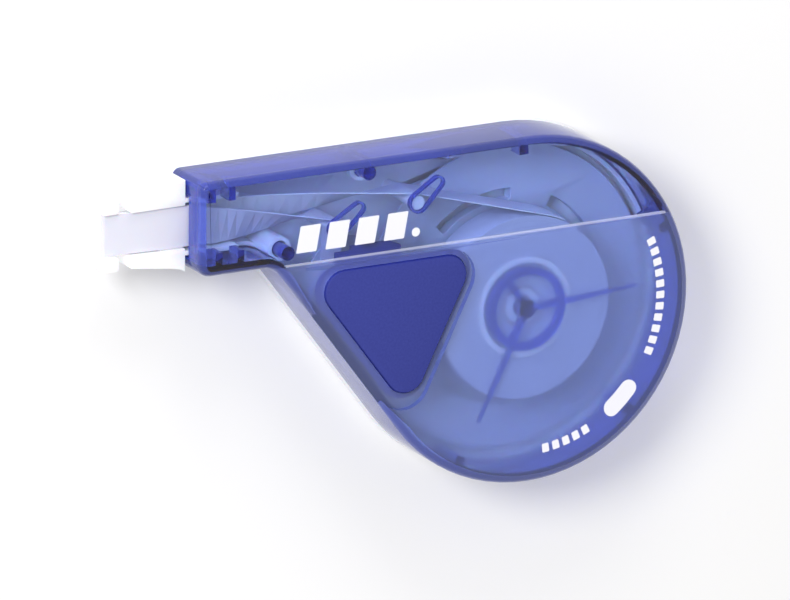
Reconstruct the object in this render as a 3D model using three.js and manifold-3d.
// Correction tape roller: a flat teardrop case that holds a supply reel and a take-up reel.
// Millimetres. The case lies on its back: +Z comes out of the front cover, +X runs to the round tail.
// The origin is on the supply reel's axis, on the outside of the rear shell.
import * as THREE from 'three';
import { mergeVertices } from 'three/addons/utils/BufferGeometryUtils.js';
import Module from 'manifold-3d';

const wasm = await Module();
wasm.setup();

// ---- case ----
const BODY_RADIUS = 21.5;          // round tail, about the supply axis
const NOSE_LEFT = -44.2;           // flat end of the nose
const NOSE_BOTTOM = 9.8;           // lower edge of the nose
const DIAGONAL_NORMAL = 216.7;     // outward direction of the slanted edge, in degrees
const NECK_FILLET = 3;
const NOSE_LOW_FILLET = 1.5;
const NOSE_TOP_FILLET = 1;
const LEAST_FILLET = 0.3;
const PARTING_Z = 2.8;             // where the rear shell meets the front cover
const WALL = 1.2;
const FLOOR = 1.2;
const COVER_PLATE = 1.2;
const LIP_GAP = 0.15;              // between the rear shell's lip and the cover's wall
const LIP_WALL = 0.5;
const LIP_HEIGHT = 0.8;            // above the parting line

// ---- grip recess and pad ----
const GRIP_RIGHT_NORMAL = -26;     // outward direction of the right side, in degrees
const RECESS_TOP = NOSE_BOTTOM - 0.6;
const RECESS_RIGHT = -9.05;
const RECESS_LEFT = BODY_RADIUS - 0.4;
const RECESS_RADIUS = 3.5;
const RECESS_DEPTH = 0.6;
const PAD_TOP = NOSE_BOTTOM - 1.6;
const PAD_RIGHT = -9.95;
const PAD_LEFT = BODY_RADIUS - 2.45;
const PAD_RADIUS = 2.5;
const PAD_CLEARANCE = 0.15;
const PAD_PROUD = 0.3;             // pad face above the recess floor
const PAD_FLANGE = 0.5;            // flange thickness, behind the cover
const PAD_FLANGE_REACH = 0.9;
const PAD_TAB_REACH = 2.8;         // tab above the pad's top edge
const PAD_TAB_SLOPE_LENGTH = 1.6;
const PAD_TAB_SLOPE_DROP = 0.7;
const PAD_TAB_STEP_LENGTH = 2;
const PAD_TAB_STEP_DROP = 0.6;

// ---- hub, axle and clutch ----
const AXLE_RADIUS = 2.3;
const AXLE_BORE = 1.3;
const AXLE_CLEARANCE = 1.3;        // from the axle's end to the cover
const RUNNING_GAP = 0.15;
const HUB_RADIUS = 4;
const HUB_CLEARANCE = 1.5;         // from the hub's end to the cover
const COVER_RING_OUTER = 5.1;
const COVER_RING_INNER = 4.25;
const COVER_RING_DEPTH = 0.9;
const BLADE_WIDTH = 0.7;
const BLADE_ANGLE = 4;             // first of three blades, in degrees
const BLADE_TIP_DEPTH = 4.3;
const RIB_END_RADIUS = 14.8;
const RIB_END_WIDTH = 0.3;
const RIB_HEIGHT = 0.4;

// ---- gears ----
const MODULE = 0.5;
const DRIVE_TEETH = 60;
const IDLER_TEETH = 12;
const TAKEUP_TEETH = 16;
const ADDENDUM = 0.45;
const DEDENDUM = 0.6;
const TOOTH_ROOT_HALF = 0.27;      // half widths of a tooth, as shares of the tooth spacing
const TOOTH_TIP_HALF = 0.12;
const GEAR_Z = 1.5;
const SMALL_GEAR_THICKNESS = 0.8;
const DRIVE_GEAR_THICKNESS = 1.1;
const DRIVE_DISC_RADIUS = 18.9;    // smooth disc over the teeth, which carries the pack
const DRIVE_DISC_THICKNESS = 0.4;
const WINDOW_INNER = 11.9;
const WINDOW_OUTER = 13.3;
const WINDOW_COUNT = 5;
const WINDOW_START = 86;
const WINDOW_SPAN = 47;
const PIN_RADIUS = 0.9;            // gear pins on the rear shell

// ---- reels and tape ----
const TAPE_WIDTH = 5;
const TAPE_Z = 3.5;                // rear edge of the wound tape
const TAPE_HEADROOM = 0.8;         // between the wound tape and the cover
const TAPE_THICKNESS = 0.12;
const TAPE_GAP = 0.06;
const CORE_RADIUS = 6.3;
const CORE_BORE = 5.5;
const CORE_SHOULDER = 1.2;
const PACK_RADIUS = 11.3;
const WASHER_THICKNESS = 0.2;
const WASHER_RADIUS = 6;
const CAP_RADIUS = 5.3;
const CAP_THICKNESS = 0.5;
const SPRING_RADIUS = 4.75;
const SPRING_WIRE = 0.28;
const SPRING_TURNS = 3.5;
const TAKEUP_X = -21.4;
const TAKEUP_Y = 5.1;
const TAKEUP_CORE = 3;
const TAKEUP_SHAFT = 2;
const TAKEUP_FLANGE = 5.4;
const TAKEUP_FLANGE_THICKNESS = 0.25;
const TAKEUP_FLANGE_GAP = 0.12;
const TAKEUP_PACK = 3.5;

// ---- guides, pins and ribs ----
const GUIDE_RADIUS = 0.85;
const GUIDE_TAIL_RADIUS = 0.42;
const GUIDES = [
  { x: -14.7, y: 15.1, tailX: -12.1, tailY: 17.3 },
  { x: -25.5, y: 13.3, tailX: -22.7, tailY: 15.5 },
];
const SNAP_PINS = [
  { x: -21.4, y: BODY_RADIUS - WALL - 0.6 },
  { x: -32.2, y: NOSE_BOTTOM + WALL + 0.2 },
];
const SNAP_PIN_RADIUS = 0.87;
const SNAP_BOSS_WALL = 0.5;
const SNAP_BOSS_CLEARANCE = 2.3;   // from a boss to the cover
const SNAP_PIN_LENGTH = 4.3;
const GUIDE_SOCKET_WALL = 0.3;
const EDGE_TABS = [92, 23, -46, -117];
const EDGE_TAB_DEPTH = 1;
const EDGE_TAB_WIDTH = 1.2;
const NOSE_RIB_WIDTH = 0.9;
const NOSE_TOP_RIBS = [1.9, 4.5].map((reach) => NOSE_LEFT + reach);
const NOSE_LOW_RIBS = [2.8, 5.7].map((reach) => NOSE_LEFT + reach);
const NOSE_RIB_LENGTH = 1.5;
const NOSE_RIB_DEPTH = 2.2;

// ---- tip ----
const TIP_EDGE = NOSE_LEFT - 10.8; // where the tape turns
const TIP_Y = 15.4;
const TIP_DROP = 0.4;              // tip below the middle of the wound tape
const TIP_EDGE_THICKNESS = 0.5;
const TIP_ROOT_THICKNESS = 1.5;
const TIP_PLATE_CLEARANCE = 0.1;
const ARM_GAP = 0.15;              // between tape edge and guard arm
const ARM_FRONT = NOSE_LEFT - 7.4;
const PLATE_SHOULDER = ARM_FRONT + 4;
const ARM_DEPTH_BEHIND = 2;        // arms behind and before the middle of the tip
const ARM_DEPTH_BEFORE = 1.3;
const UPPER_ARM_FRONT_WIDTH = 1.95;
const LOWER_ARM_FRONT_WIDTH = 1.55;
const LOWER_ARM_ROOT_WIDTH = 2.25;
const ARM_TO_NOSE = 0.3;           // upper arm below the case's top edge
const FLARE_TO_NOSE = 0.1;         // lower arm's flare above the nose's lower edge
const FLARE_LENGTH = 1.8;
const FLARE_STEP = 0.6;
const FLARE_RISE = 0.25;
const LUG_LENGTH = 2.3;
const LUG_WIDTH = 1.8;
const LUG_HEIGHT = 2;
const LUG_CORNER = 0.4;
const LUG_OVERHANG = 0.4;          // lugs ahead of the tip's edge
const TONGUE_END = NOSE_LEFT + 6.6;
const TONGUE_MARGIN = 1;           // tongue beyond the tape, on each side
const RAIL_WIDTH = 0.5;            // side rails of the tongue
const TONGUE_GAP = 0.3;
const CASE_SEAM = 0.3;             // between the tip's flare and the nose

// ---- heights that follow ----
const COVER_UNDER = TAPE_Z + TAPE_WIDTH + TAPE_HEADROOM;
const CASE_THICKNESS = COVER_UNDER + COVER_PLATE;
const AXLE_TOP = COVER_UNDER - AXLE_CLEARANCE;
const HUB_TOP = COVER_UNDER - HUB_CLEARANCE;
const SNAP_BOSS_TOP = COVER_UNDER - SNAP_BOSS_CLEARANCE;
const TIP_Z = TAPE_Z + TAPE_WIDTH / 2 - TIP_DROP;
const ARM_LOW_Z = TIP_Z - ARM_DEPTH_BEHIND;
const ARM_TOP_Z = TIP_Z + ARM_DEPTH_BEFORE;

const SAGITTA = 0.02;
const OVERSHOOT = 1;
const BITE = 0.05;                 // how far joined solids reach into each other

// ---- outlines: lists of points ----
const rad = (degrees) => degrees * Math.PI / 180;
const at = (radius, degrees, x = 0, y = 0) =>
  new THREE.Vector2(x + radius * Math.cos(rad(degrees)), y + radius * Math.sin(rad(degrees)));

function arc(x, y, radius, from, to) {
  const step = 2 * Math.acos(Math.max(0.5, 1 - SAGITTA / radius)) * 180 / Math.PI;
  const count = Math.max(2, Math.ceil(Math.abs(to - from) / step));
  return Array.from({ length: count + 1 }, (_, i) => at(radius, from + (to - from) * i / count, x, y));
}

function circle(x, y, radius) {
  return arc(x, y, radius, 0, 360).slice(0, -1);
}

function roundedCorner(before, corner, after, radius) {
  const incoming = corner.clone().sub(before).normalize();
  const outgoing = after.clone().sub(corner).normalize();
  const side = Math.sign(incoming.cross(outgoing));
  const turn = Math.acos(incoming.dot(outgoing));
  const start = corner.clone().addScaledVector(incoming, -radius * Math.tan(turn / 2));
  const centre = new THREE.Vector2(-incoming.y, incoming.x).multiplyScalar(radius * side).add(start);
  const from = start.clone().sub(centre).angle() * 180 / Math.PI;
  return arc(centre.x, centre.y, radius, from, from + side * turn * 180 / Math.PI);
}

function roundedPolygon(corners, radius) {
  const count = corners.length;
  return corners.flatMap((corner, i) =>
    roundedCorner(corners[(i + count - 1) % count], corner, corners[(i + 1) % count], radius));
}

// Where two lines meet; each line is the direction of its normal and its distance from the origin.
function meet(normalA, distanceA, normalB, distanceB) {
  const a = at(1, normalA);
  const b = at(1, normalB);
  const spread = a.cross(b);
  const x = (distanceA * b.y - distanceB * a.y) / spread;
  const y = (distanceB * a.x - distanceA * b.x) / spread;
  return new THREE.Vector2(x, y);
}

function caseOutline(inset) {
  const radius = BODY_RADIUS - inset;
  const left = NOSE_LEFT + inset;
  const low = NOSE_BOTTOM + inset;
  const slantEnd = at(radius, DIAGONAL_NORMAL);
  const neck = meet(DIAGONAL_NORMAL, radius, 90, low);
  const lowCorner = new THREE.Vector2(left, low);
  const topCorner = new THREE.Vector2(left, radius);
  return [
    ...arc(0, 0, radius, 90, DIAGONAL_NORMAL - 360),
    ...roundedCorner(slantEnd, neck, lowCorner, NECK_FILLET + inset),
    ...roundedCorner(neck, lowCorner, topCorner, Math.max(LEAST_FILLET, NOSE_LOW_FILLET - inset)),
    ...roundedCorner(lowCorner, topCorner, at(radius, 90), Math.max(LEAST_FILLET, NOSE_TOP_FILLET - inset)),
  ];
}

function gripOutline(top, right, left, radius) {
  return roundedPolygon([
    meet(90, top, GRIP_RIGHT_NORMAL, right),
    meet(GRIP_RIGHT_NORMAL, right, DIAGONAL_NORMAL, left),
    meet(DIAGONAL_NORMAL, left, 90, top),
  ], radius);
}

function padOutline(grow) {
  return gripOutline(PAD_TOP + grow, PAD_RIGHT + grow, PAD_LEFT + grow, PAD_RADIUS + grow);
}

// A radial strip between two radii, with a width at each end.
function strip(degrees, from, to, widthFrom, widthTo) {
  const along = at(1, degrees);
  const across = at(1, degrees + 90);
  return [
    [from, -widthFrom / 2],
    [to, -widthTo / 2],
    [to, widthTo / 2],
    [from, widthFrom / 2],
  ].map(([reach, side]) => along.clone().multiplyScalar(reach).addScaledVector(across, side));
}

function polygon(corners) {
  return corners.map(([x, y]) => new THREE.Vector2(x, y));
}

function teardrop(guide, grow) {
  const head = new THREE.Vector2(guide.x, guide.y);
  const tail = new THREE.Vector2(guide.tailX, guide.tailY);
  const heading = tail.clone().sub(head).angle() * 180 / Math.PI;
  const lean = Math.acos((GUIDE_RADIUS - GUIDE_TAIL_RADIUS) / head.distanceTo(tail)) * 180 / Math.PI;
  return [
    ...arc(guide.x, guide.y, GUIDE_RADIUS + grow, heading + lean, heading + 360 - lean),
    ...arc(guide.tailX, guide.tailY, GUIDE_TAIL_RADIUS + grow, heading - lean, heading + lean),
  ];
}

function gearOutline(teeth, x, y, phase) {
  const pitch = MODULE * teeth / 2;
  const step = 360 / teeth;
  return Array.from({ length: teeth }, (_, i) => phase + i * step).flatMap((middle) => [
    at(pitch - DEDENDUM, middle - TOOTH_ROOT_HALF * step, x, y),
    at(pitch + ADDENDUM, middle - TOOTH_TIP_HALF * step, x, y),
    at(pitch + ADDENDUM, middle + TOOTH_TIP_HALF * step, x, y),
    at(pitch - DEDENDUM, middle + TOOTH_ROOT_HALF * step, x, y),
  ]);
}

// ---- solids ----
function prism(points, bottom, top, holes = []) {
  const shape = new THREE.Shape(THREE.ShapeUtils.isClockWise(points) ? [...points].reverse() : points);
  shape.holes = holes.map((hole) => new THREE.Path(hole));
  const geometry = new THREE.ExtrudeGeometry(shape, { depth: top - bottom, bevelEnabled: false });
  return solid(geometry.translate(0, 0, bottom));
}

function solid(geometry) {
  const bare = geometry.clone();
  bare.deleteAttribute('normal');
  bare.deleteAttribute('uv');
  const merged = mergeVertices(bare);
  const vertProperties = new Float32Array(merged.attributes.position.array);
  const triVerts = new Uint32Array(merged.index.array);
  return new wasm.Manifold(new wasm.Mesh({ numProp: 3, vertProperties, triVerts }));
}

function join(first, ...others) {
  return others.reduce((whole, piece) => whole.add(piece), first);
}

function cut(first, ...others) {
  return others.reduce((whole, piece) => whole.subtract(piece), first);
}

function disc(x, y, radius, bottom, top) {
  return prism(circle(x, y, radius), bottom, top);
}

function ring(x, y, outer, inner, bottom, top) {
  return prism(circle(x, y, outer), bottom, top, [circle(x, y, inner)]);
}

function block(x0, x1, y0, y1, z0, z1) {
  return prism(polygon([[x0, y0], [x1, y0], [x1, y1], [x0, y1]]), z0, z1);
}

// A flat ribbon through stations, each with a centre, a width direction and a face normal.
// Both broad faces are split along the same diagonals, so it keeps its thickness where it twists.
function ribbon(stations, width, thickness) {
  const signs = [[-1, -1], [1, -1], [1, 1], [-1, 1]];
  const positions = stations.flatMap(({ centre, across, normal }) => signs.flatMap(([a, n]) => {
    const edge = centre.clone().addScaledVector(across, a * width / 2);
    return edge.addScaledVector(normal, n * thickness / 2).toArray();
  }));
  const last = 4 * (stations.length - 1);
  const index = [0, 2, 1, 0, 3, 2, last, last + 1, last + 2, last, last + 2, last + 3];
  for (let i = 0; i < last; i += 4) {
    const quads = [0, 1, 2, 3].map((side) => [side, (side + 1) % 4, 4 + (side + 1) % 4, 4 + side]);
    quads[2].push(quads[2].shift());
    quads.forEach(([a, b, c, d]) => index.push(i + a, i + b, i + c, i + a, i + c, i + d));
  }
  const geometry = new THREE.BufferGeometry();
  geometry.setAttribute('position', new THREE.Float32BufferAttribute(positions, 3));
  geometry.setIndex(index);
  return geometry;
}

const group = new THREE.Group();

const finish = (color, roughness) => new THREE.MeshStandardMaterial({ color, roughness, metalness: 0 });
const milkyPlastic = finish('#e9ecf7', 0.4);
const bluePlastic = finish('#5f6bb8', 0.3);
const darkGrip = finish('#343c92', 0.8);
const whitePlastic = finish('#f4f4fa', 0.4);
const gearPlastic = finish('#dfe3f2', 0.45);
const filmWhite = finish('#f7f7fb', 0.7);
const linerPaper = finish('#dcdbe8', 0.6);
const rubber = finish('#3b3d45', 0.9);
const springSteel = new THREE.MeshStandardMaterial({ color: '#b9bcc2', roughness: 0.3, metalness: 1 });

function addMesh(name, geometry, material) {
  const mesh = new THREE.Mesh(geometry, material);
  mesh.name = name;
  group.add(mesh);
}

function addSolid(name, piece, material) {
  const mesh = piece.getMesh();
  const geometry = new THREE.BufferGeometry();
  geometry.setAttribute('position', new THREE.BufferAttribute(mesh.vertProperties, 3));
  geometry.setIndex(new THREE.BufferAttribute(mesh.triVerts, 1));
  geometry.computeVertexNormals();
  addMesh(name, geometry, material);
}

// ---- where the gears stand ----
const drivePitch = MODULE * DRIVE_TEETH / 2;
const idlerPitch = MODULE * IDLER_TEETH / 2;
const takeupPitch = MODULE * TAKEUP_TEETH / 2;
const takeupAt = new THREE.Vector2(TAKEUP_X, TAKEUP_Y);
const edgeCentre = TIP_EDGE + TIP_EDGE_THICKNESS / 2 + TAPE_GAP + TAPE_THICKNESS;
const idlerAt = idlerCentre();

function idlerCentre() {
  const span = takeupAt.length();
  const fromDrive = drivePitch + idlerPitch;
  const fromTakeup = takeupPitch + idlerPitch;
  const lean = Math.acos((fromDrive ** 2 + span ** 2 - fromTakeup ** 2) / (2 * fromDrive * span));
  return at(fromDrive, (takeupAt.angle() + lean) * 180 / Math.PI);
}

// Tooth angle of a gear that meshes with another whose tooth angle is known.
function meshedPhase(phase, teeth, centre, nextTeeth, nextCentre) {
  const heading = nextCentre.clone().sub(centre).angle() * 180 / Math.PI;
  return heading + 180 - (phase - heading) * teeth / nextTeeth + 180 / nextTeeth;
}

const drivePhase = 0;
const supplyAt = new THREE.Vector2(0, 0);
const idlerPhase = meshedPhase(drivePhase, DRIVE_TEETH, supplyAt, IDLER_TEETH, idlerAt);
const takeupPhase = meshedPhase(idlerPhase, IDLER_TEETH, idlerAt, TAKEUP_TEETH, takeupAt);
const smallGearTop = GEAR_Z + SMALL_GEAR_THICKNESS;
const driveDiscTop = GEAR_Z + DRIVE_GEAR_THICKNESS + DRIVE_DISC_THICKNESS;

const flangeLow = TAPE_Z - TAPE_GAP - TAKEUP_FLANGE_THICKNESS;

// The opening in the nose that the tip's tongue goes through.
const tongueHalf = TAPE_WIDTH / 2 + TONGUE_MARGIN;
const lipInset = WALL + LIP_GAP;
const noseOpening = block(
  NOSE_LEFT - OVERSHOOT, NOSE_LEFT + lipInset + LIP_WALL + OVERSHOOT,
  TIP_Y - tongueHalf - TONGUE_GAP, TIP_Y + tongueHalf + TONGUE_GAP,
  ARM_LOW_Z - TONGUE_GAP, ARM_TOP_Z + TONGUE_GAP,
);

function rearShell() {
  const floorPlate = prism(caseOutline(0), 0, FLOOR);
  const wall = prism(caseOutline(0), FLOOR - BITE, PARTING_Z, [caseOutline(WALL)]);
  const lipInside = caseOutline(lipInset + LIP_WALL);
  const flangeWay = TAKEUP_FLANGE + TAKEUP_FLANGE_GAP;
  const lip = cut(prism(caseOutline(lipInset), FLOOR - BITE, PARTING_Z + LIP_HEIGHT, [lipInside]),
    disc(takeupAt.x, takeupAt.y, flangeWay, flangeLow - RUNNING_GAP, CASE_THICKNESS));
  const footInside = caseOutline(lipInset + BITE);
  const lipFoot = prism(caseOutline(WALL - BITE), FLOOR - BITE, PARTING_Z - LIP_GAP, [footInside]);
  const axle = disc(0, 0, AXLE_RADIUS, FLOOR - BITE, AXLE_TOP);
  const axleBore = disc(0, 0, AXLE_BORE, FLOOR + BITE, AXLE_TOP + OVERSHOOT);
  const guides = GUIDES.map(({ x, y }) => disc(x, y, GUIDE_RADIUS, FLOOR - BITE, COVER_UNDER - TONGUE_GAP));
  const gearPins = [
    disc(idlerAt.x, idlerAt.y, PIN_RADIUS, FLOOR - BITE, smallGearTop),
    disc(takeupAt.x, takeupAt.y, PIN_RADIUS, FLOOR - BITE, AXLE_TOP),
  ];
  const bossRadius = SNAP_PIN_RADIUS + RUNNING_GAP + SNAP_BOSS_WALL;
  const bosses = SNAP_PINS.map(({ x, y }) => disc(x, y, bossRadius, FLOOR - BITE, SNAP_BOSS_TOP)
    .intersect(prism(caseOutline(lipInset), 0, CASE_THICKNESS)));
  const bossBores = SNAP_PINS.map(({ x, y }) =>
    disc(x, y, SNAP_PIN_RADIUS + RUNNING_GAP, FLOOR + BITE, CASE_THICKNESS));
  const body = join(floorPlate, wall, lip, lipFoot, axle, ...guides, ...gearPins, ...bosses);
  return cut(body, axleBore, noseOpening, ...bossBores);
}

function gripRecess() {
  const floor = CASE_THICKNESS - RECESS_DEPTH;
  const above = CASE_THICKNESS + OVERSHOOT;
  const hollow = prism(gripOutline(RECESS_TOP, RECESS_RIGHT, RECESS_LEFT, RECESS_RADIUS), floor, above);
  const side = RECESS_LEFT - RECESS_RADIUS;
  const low = meet(GRIP_RIGHT_NORMAL, RECESS_RIGHT - RECESS_RADIUS, DIAGONAL_NORMAL, side);
  const high = meet(90, RECESS_TOP - RECESS_RADIUS, DIAGONAL_NORMAL, side);
  const outward = at(RECESS_RADIUS + OVERSHOOT, DIAGONAL_NORMAL);
  const corners = [low, high, high.clone().add(outward), low.clone().add(outward)];
  const sideRelief = prism(corners, floor, above);
  return hollow.add(sideRelief);
}

function hubBlades() {
  const blades = [0, 120, 240].map((turn) => prism(
    strip(BLADE_ANGLE + turn, -BLADE_WIDTH / 4, COVER_RING_INNER + BITE, BLADE_WIDTH, BLADE_WIDTH),
    COVER_UNDER - COVER_RING_DEPTH, COVER_UNDER + BITE));
  const tip = disc(0, 0, AXLE_BORE - RUNNING_GAP, COVER_UNDER - BLADE_TIP_DEPTH, COVER_UNDER + BITE);
  const ribs = [0, 240].map((turn) => prism(
    strip(BLADE_ANGLE + turn, COVER_RING_OUTER - BITE, RIB_END_RADIUS, BLADE_WIDTH, RIB_END_WIDTH),
    COVER_UNDER - RIB_HEIGHT, COVER_UNDER + BITE));
  return [...blades, tip, ...ribs];
}

function noseRibs() {
  const half = NOSE_RIB_WIDTH / 2;
  const top = BODY_RADIUS - WALL;
  const low = NOSE_BOTTOM + WALL;
  const bottom = COVER_UNDER - NOSE_RIB_DEPTH;
  const rib = (x, from, to) => block(x - half, x + half, from, to, bottom, COVER_UNDER + BITE);
  return [
    ...NOSE_TOP_RIBS.map((x) => rib(x, top - NOSE_RIB_LENGTH, top + BITE)),
    ...NOSE_LOW_RIBS.map((x) => rib(x, low - BITE, low + NOSE_RIB_LENGTH)),
  ];
}

function frontCover() {
  const plate = prism(caseOutline(0), COVER_UNDER, CASE_THICKNESS);
  const wall = prism(caseOutline(0), PARTING_Z, COVER_UNDER + BITE, [caseOutline(WALL)]);
  const ringLow = COVER_UNDER - COVER_RING_DEPTH;
  const hubRing = ring(0, 0, COVER_RING_OUTER, COVER_RING_INNER, ringLow, COVER_UNDER + BITE);
  const pins = SNAP_PINS.map(({ x, y }) =>
    disc(x, y, SNAP_PIN_RADIUS, COVER_UNDER - SNAP_PIN_LENGTH, COVER_UNDER + BITE));
  const wallRadius = BODY_RADIUS - WALL;
  const tabs = EDGE_TABS.map((angle) => prism(
    strip(angle, wallRadius - EDGE_TAB_DEPTH, wallRadius + BITE, EDGE_TAB_WIDTH, EDGE_TAB_WIDTH),
    PARTING_Z + LIP_HEIGHT + TONGUE_GAP, COVER_UNDER + BITE));
  const sockets = GUIDES.map((guide) => prism(teardrop(guide, RUNNING_GAP + GUIDE_SOCKET_WALL),
    TAPE_Z + TAPE_WIDTH + RUNNING_GAP, COVER_UNDER + BITE, [teardrop(guide, RUNNING_GAP)]));
  const padHole = prism(padOutline(PAD_CLEARANCE), COVER_UNDER - OVERSHOOT, CASE_THICKNESS + OVERSHOOT);
  const shell = join(plate, wall, hubRing, ...hubBlades(), ...pins, ...tabs, ...noseRibs(), ...sockets);
  return cut(shell, gripRecess(), padHole, noseOpening);
}

function gripPad() {
  const flangeTop = COVER_UNDER - BITE;
  const flangeBottom = flangeTop - PAD_FLANGE;
  const face = prism(padOutline(0), flangeBottom, CASE_THICKNESS - RECESS_DEPTH + PAD_PROUD);
  const flange = prism(padOutline(PAD_FLANGE_REACH), flangeBottom, flangeTop);
  const left = meet(DIAGONAL_NORMAL, PAD_LEFT - PAD_RADIUS, 90, PAD_TOP).x + PAD_FLANGE_REACH;
  const right = meet(GRIP_RIGHT_NORMAL, PAD_RIGHT, 90, PAD_TOP).x - 4 * PAD_RADIUS;
  const top = PAD_TOP + PAD_TAB_REACH;
  const tab = prism(polygon([
    [left, PAD_TOP - OVERSHOOT],
    [right, PAD_TOP - OVERSHOOT],
    [right, top - PAD_TAB_SLOPE_DROP],
    [right - PAD_TAB_SLOPE_LENGTH, top],
    [left + PAD_TAB_STEP_LENGTH, top],
    [left + PAD_TAB_STEP_LENGTH, top - PAD_TAB_STEP_DROP],
    [left, top - PAD_TAB_STEP_DROP],
  ]), flangeBottom, flangeTop);
  return join(face, flange, tab);
}

function driveGear() {
  const discLow = GEAR_Z + DRIVE_GEAR_THICKNESS;
  const toothed = prism(gearOutline(DRIVE_TEETH, 0, 0, drivePhase), GEAR_Z, discLow + BITE);
  const plate = disc(0, 0, DRIVE_DISC_RADIUS, discLow, driveDiscTop);
  const hub = disc(0, 0, HUB_RADIUS, discLow, HUB_TOP);
  const bore = disc(0, 0, AXLE_RADIUS + RUNNING_GAP, 0, CASE_THICKNESS);
  const windowStarts = Array.from({ length: WINDOW_COUNT }, (_, i) => WINDOW_START + i * 360 / WINDOW_COUNT);
  const windows = windowStarts.map((start) => prism([
    ...arc(0, 0, WINDOW_OUTER, start, start + WINDOW_SPAN),
    ...arc(0, 0, WINDOW_INNER, start + WINDOW_SPAN, start),
  ], 0, CASE_THICKNESS));
  return cut(join(toothed, plate, hub), bore, ...windows);
}

function clutchSpring() {
  const low = coreLow + CORE_SHOULDER + SPRING_WIRE + BITE;
  const high = HUB_TOP - CAP_THICKNESS - SPRING_WIRE - BITE;
  const stepsPerTurn = 20;
  const wireSides = 8;
  const steps = Math.round(SPRING_TURNS * stepsPerTurn);
  const points = Array.from({ length: steps + 1 }, (_, i) => {
    const spot = at(SPRING_RADIUS, i * 360 / stepsPerTurn);
    return new THREE.Vector3(spot.x, spot.y, low + (high - low) * i / steps);
  });
  const path = new THREE.CatmullRomCurve3(points);
  const section = Array.from({ length: wireSides }, (_, i) => at(SPRING_WIRE, i * 360 / wireSides));
  const wire = new THREE.Shape(section);
  return new THREE.ExtrudeGeometry(wire, { steps, extrudePath: path, bevelEnabled: false });
}

function takeupReel() {
  const { x, y } = takeupAt;
  const pinion = prism(gearOutline(TAKEUP_TEETH, x, y, takeupPhase), GEAR_Z, smallGearTop);
  const shaft = disc(x, y, TAKEUP_SHAFT, smallGearTop - BITE, flangeLow + BITE);
  const flange = disc(x, y, TAKEUP_FLANGE, flangeLow, flangeLow + TAKEUP_FLANGE_THICKNESS);
  const core = disc(x, y, TAKEUP_CORE, flangeLow, TAPE_Z + TAPE_WIDTH);
  const bore = disc(x, y, PIN_RADIUS + RUNNING_GAP, 0, CASE_THICKNESS);
  return cut(join(pinion, shaft, flange, core), bore);
}

// The plate the tape slides over: a side view, x across and z up, pushed along y.
function tipSlab(half) {
  const rootZ = TIP_ROOT_THICKNESS / 2;
  const side = new THREE.Shape([
    new THREE.Vector2(NOSE_LEFT, TIP_Z - rootZ),
    new THREE.Vector2(NOSE_LEFT, TIP_Z + rootZ),
    new THREE.Vector2(PLATE_SHOULDER, TIP_Z + rootZ),
    ...arc(edgeCentre, TIP_Z, TIP_EDGE_THICKNESS / 2, 90, 270),
    new THREE.Vector2(PLATE_SHOULDER, TIP_Z - rootZ),
  ]);
  const slab = new THREE.ExtrudeGeometry(side, { depth: 2 * half, bevelEnabled: false });
  return solid(slab.rotateX(Math.PI / 2).translate(0, TIP_Y + half, 0));
}

function tipLugs(front, rear) {
  return [-1, 1].map((sign) => {
    const middle = TIP_Y + sign * (TAPE_WIDTH / 2 + ARM_GAP + LUG_WIDTH / 2);
    const low = middle - LUG_WIDTH / 2;
    const high = middle + LUG_WIDTH / 2;
    const corners = polygon([[front, low], [rear, low], [rear, high], [front, high]]);
    return prism(roundedPolygon(corners, LUG_CORNER), TIP_Z - LUG_HEIGHT / 2, TIP_Z + LUG_HEIGHT / 2);
  });
}

function guardArms(root) {
  const upper = TIP_Y + TAPE_WIDTH / 2 + ARM_GAP;
  const lower = TIP_Y - TAPE_WIDTH / 2 - ARM_GAP;
  const upperArm = polygon([
    [root, upper],
    [ARM_FRONT, upper],
    [ARM_FRONT, upper + UPPER_ARM_FRONT_WIDTH],
    [root, BODY_RADIUS - ARM_TO_NOSE],
  ]);
  const lowerArm = polygon([
    [root, lower],
    [ARM_FRONT, lower],
    [ARM_FRONT, lower - LOWER_ARM_FRONT_WIDTH],
    [root - FLARE_LENGTH, lower - LOWER_ARM_ROOT_WIDTH],
    [root - FLARE_STEP, lower - LOWER_ARM_ROOT_WIDTH - FLARE_RISE],
    [root, NOSE_BOTTOM + FLARE_TO_NOSE],
  ]);
  return [upperArm, lowerArm].map((outline) => prism(outline, ARM_LOW_Z, ARM_TOP_Z));
}

function tipHead() {
  const plate = tipSlab(TAPE_WIDTH / 2 - TIP_PLATE_CLEARANCE);
  const wide = tipSlab(TAPE_WIDTH / 2 + LUG_WIDTH);
  const lugFront = TIP_EDGE - LUG_OVERHANG;
  const lugRear = lugFront + LUG_LENGTH;
  const root = NOSE_LEFT - CASE_SEAM;
  const bridge = wide.intersect(block(TIP_EDGE - OVERSHOOT, lugRear, 0, BODY_RADIUS, 0, CASE_THICKNESS));
  const web = wide.intersect(block(PLATE_SHOULDER, root, 0, BODY_RADIUS, 0, CASE_THICKNESS));
  const rails = [-1, 1].map((sign) => block(root - OVERSHOOT, TONGUE_END,
    TIP_Y + sign * (tongueHalf - RAIL_WIDTH), TIP_Y + sign * tongueHalf, ARM_LOW_Z, ARM_TOP_Z));
  return join(plate, bridge, web, ...tipLugs(lugFront, lugRear), ...guardArms(root), ...rails);
}

// ---- the tape's way from reel to reel ----
const tapeMiddle = TAPE_Z + TAPE_WIDTH / 2;
const up = new THREE.Vector3(0, 0, 1);
const tapeOff = TAPE_GAP + TAPE_THICKNESS / 2;
const plateFace = TIP_ROOT_THICKNESS / 2 + tapeOff;
const edgeFace = TIP_EDGE_THICKNESS / 2 + tapeOff;
const guideWrap = GUIDE_RADIUS + tapeOff;
const leavePost = 92;
const onPackSpan = 12;

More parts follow.
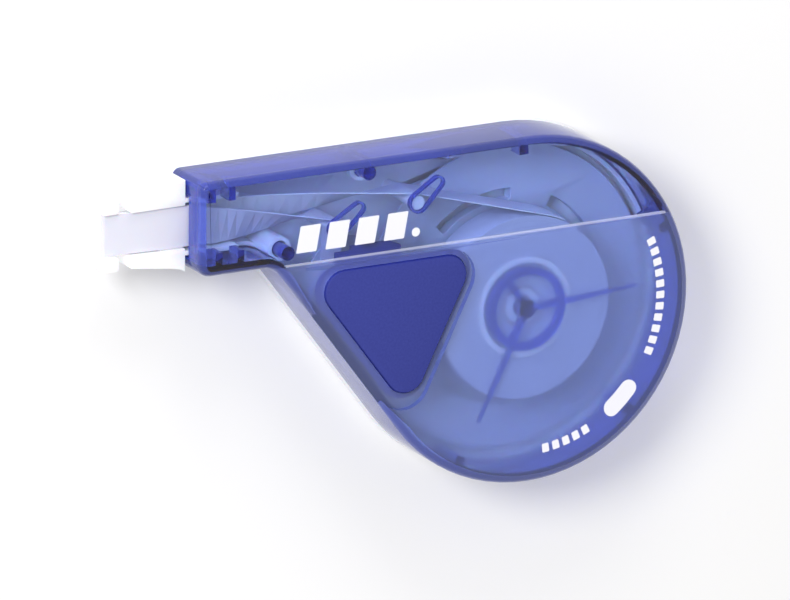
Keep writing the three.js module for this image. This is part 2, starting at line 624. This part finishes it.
// Stations that lean on a round post or pack, from one normal angle to another.
function wrapStations(x, y, radius, from, to, z) {
  const widestStep = 20;
  const count = Math.max(2, Math.ceil(Math.abs(to - from) / widestStep));
  return Array.from({ length: count + 1 }, (_, i) => {
    const angle = from + (to - from) * i / count;
    const spot = at(radius, angle, x, y);
    const normal = at(1, angle);
    return {
      centre: new THREE.Vector3(spot.x, spot.y, z),
      across: up.clone(),
      normal: new THREE.Vector3(normal.x, normal.y, 0),
    };
  });
}

// The quarter twist between a post and the tip: the front edge turns to the top edge.
function twistStations(start, end) {
  const count = 16;
  return Array.from({ length: count - 1 }, (_, i) => {
    const t = (i + 1) / count;
    const angle = t * Math.PI / 2;
    return {
      centre: new THREE.Vector3(start.x + (end.x - start.x) * t, start.y + (end.y - start.y) * t * t,
        start.z + (end.z - start.z) * t),
      across: new THREE.Vector3(0, Math.sin(angle), Math.cos(angle)),
      normal: new THREE.Vector3(0, Math.cos(angle), -Math.sin(angle)),
    };
  });
}

function flatStation(x, z) {
  return {
    centre: new THREE.Vector3(x, TIP_Y, z),
    across: new THREE.Vector3(0, 1, 0),
    normal: new THREE.Vector3(0, 0, -1),
  };
}

function feedRun() {
  const [post] = GUIDES;
  const packWrap = PACK_RADIUS + TAPE_GAP + tapeOff;
  const reach = Math.hypot(post.x, post.y);
  const heading = Math.atan2(post.y, post.x) * 180 / Math.PI;
  const leavePack = heading - Math.acos((packWrap - guideWrap) / reach) * 180 / Math.PI;
  const onPack = wrapStations(0, 0, packWrap, leavePack - onPackSpan, leavePack, tapeMiddle);
  const onPost = wrapStations(post.x, post.y, guideWrap, leavePack, leavePost, tapeMiddle);
  const end = new THREE.Vector3(NOSE_LEFT + CASE_SEAM, TIP_Y, TIP_Z - plateFace);
  return ribbon([
    ...onPack,
    ...onPost,
    ...twistStations(onPost.at(-1).centre, end),
    flatStation(end.x, end.z),
    flatStation(PLATE_SHOULDER, end.z),
    flatStation(edgeCentre, TIP_Z - edgeFace),
  ], TAPE_WIDTH, TAPE_THICKNESS);
}

// The liner turns over the tip's edge, so that its two runs face away from each other.
function edgeStations() {
  return [90, 60, 30, 0, -30, -60, -80].map((angle) => {
    const outward = new THREE.Vector3(-Math.cos(rad(angle)), 0, Math.sin(rad(angle)));
    return {
      centre: new THREE.Vector3(edgeCentre, TIP_Y, TIP_Z).addScaledVector(outward, edgeFace),
      across: new THREE.Vector3(0, 1, 0),
      normal: outward.negate(),
    };
  });
}

function returnRun() {
  const [, post] = GUIDES;
  const packWrap = TAKEUP_PACK + tapeOff;
  const gap = takeupAt.clone().sub(new THREE.Vector2(post.x, post.y));
  const heading = gap.angle() * 180 / Math.PI;
  const lean = Math.acos((guideWrap + packWrap) / gap.length()) * 180 / Math.PI;
  const leave = heading + lean - 360;
  const meetPack = leave + 180;
  const onPack = wrapStations(takeupAt.x, takeupAt.y, packWrap, meetPack + onPackSpan, meetPack, tapeMiddle)
    .map((station) => ({ ...station, normal: station.normal.clone().negate() }));
  const onPost = wrapStations(post.x, post.y, guideWrap, leave, leavePost, tapeMiddle);
  const end = new THREE.Vector3(NOSE_LEFT + CASE_SEAM, TIP_Y, TIP_Z + plateFace);
  return ribbon([
    ...onPack,
    ...onPost,
    ...twistStations(onPost.at(-1).centre, end),
    flatStation(end.x, end.z),
    flatStation(PLATE_SHOULDER, end.z),
    ...edgeStations(),
  ], TAPE_WIDTH, TAPE_THICKNESS);
}

// ---- the assembly ----
const washerLow = driveDiscTop + BITE;
const washerTop = washerLow + WASHER_THICKNESS;
const coreLow = washerTop + BITE;
const tapeTop = TAPE_Z + TAPE_WIDTH;
const { x: idlerX, y: idlerY } = idlerAt;

const washer = ring(0, 0, WASHER_RADIUS, HUB_RADIUS + RUNNING_GAP, washerLow, washerTop);
const core = cut(disc(0, 0, CORE_RADIUS, coreLow, tapeTop),
  disc(0, 0, HUB_RADIUS + RUNNING_GAP, 0, CASE_THICKNESS),
  disc(0, 0, CORE_BORE, coreLow + CORE_SHOULDER, CASE_THICKNESS));
const cap = ring(0, 0, CAP_RADIUS, HUB_RADIUS + BITE, HUB_TOP - CAP_THICKNESS, HUB_TOP);
const idler = cut(prism(gearOutline(IDLER_TEETH, idlerX, idlerY, idlerPhase), GEAR_Z, smallGearTop),
  disc(idlerX, idlerY, PIN_RADIUS + RUNNING_GAP, 0, CASE_THICKNESS));
const supplyPack = ring(0, 0, PACK_RADIUS, CORE_RADIUS + TAPE_GAP, TAPE_Z, tapeTop);
const linerPack = ring(takeupAt.x, takeupAt.y, TAKEUP_PACK, TAKEUP_CORE + TAPE_GAP, TAPE_Z, tapeTop);

addSolid('rear_shell', rearShell(), milkyPlastic);
addSolid('front_cover', frontCover(), bluePlastic);
addSolid('grip_pad', gripPad(), darkGrip);
addSolid('tip_head', tipHead(), whitePlastic);
addSolid('drive_gear', driveGear(), gearPlastic);
addSolid('clutch_washer', washer, rubber);
addSolid('supply_core', core, whitePlastic);
addMesh('clutch_spring', clutchSpring(), springSteel);
addSolid('clutch_cap', cap, gearPlastic);
addSolid('idler_gear', idler, gearPlastic);
addSolid('takeup_reel', takeupReel(), gearPlastic);
addSolid('supply_tape_pack', supplyPack, filmWhite);
addSolid('takeup_liner_pack', linerPack, linerPaper);
addMesh('tape_feed_run', feedRun(), filmWhite);
addMesh('liner_return_run', returnRun(), linerPaper);

export default group;
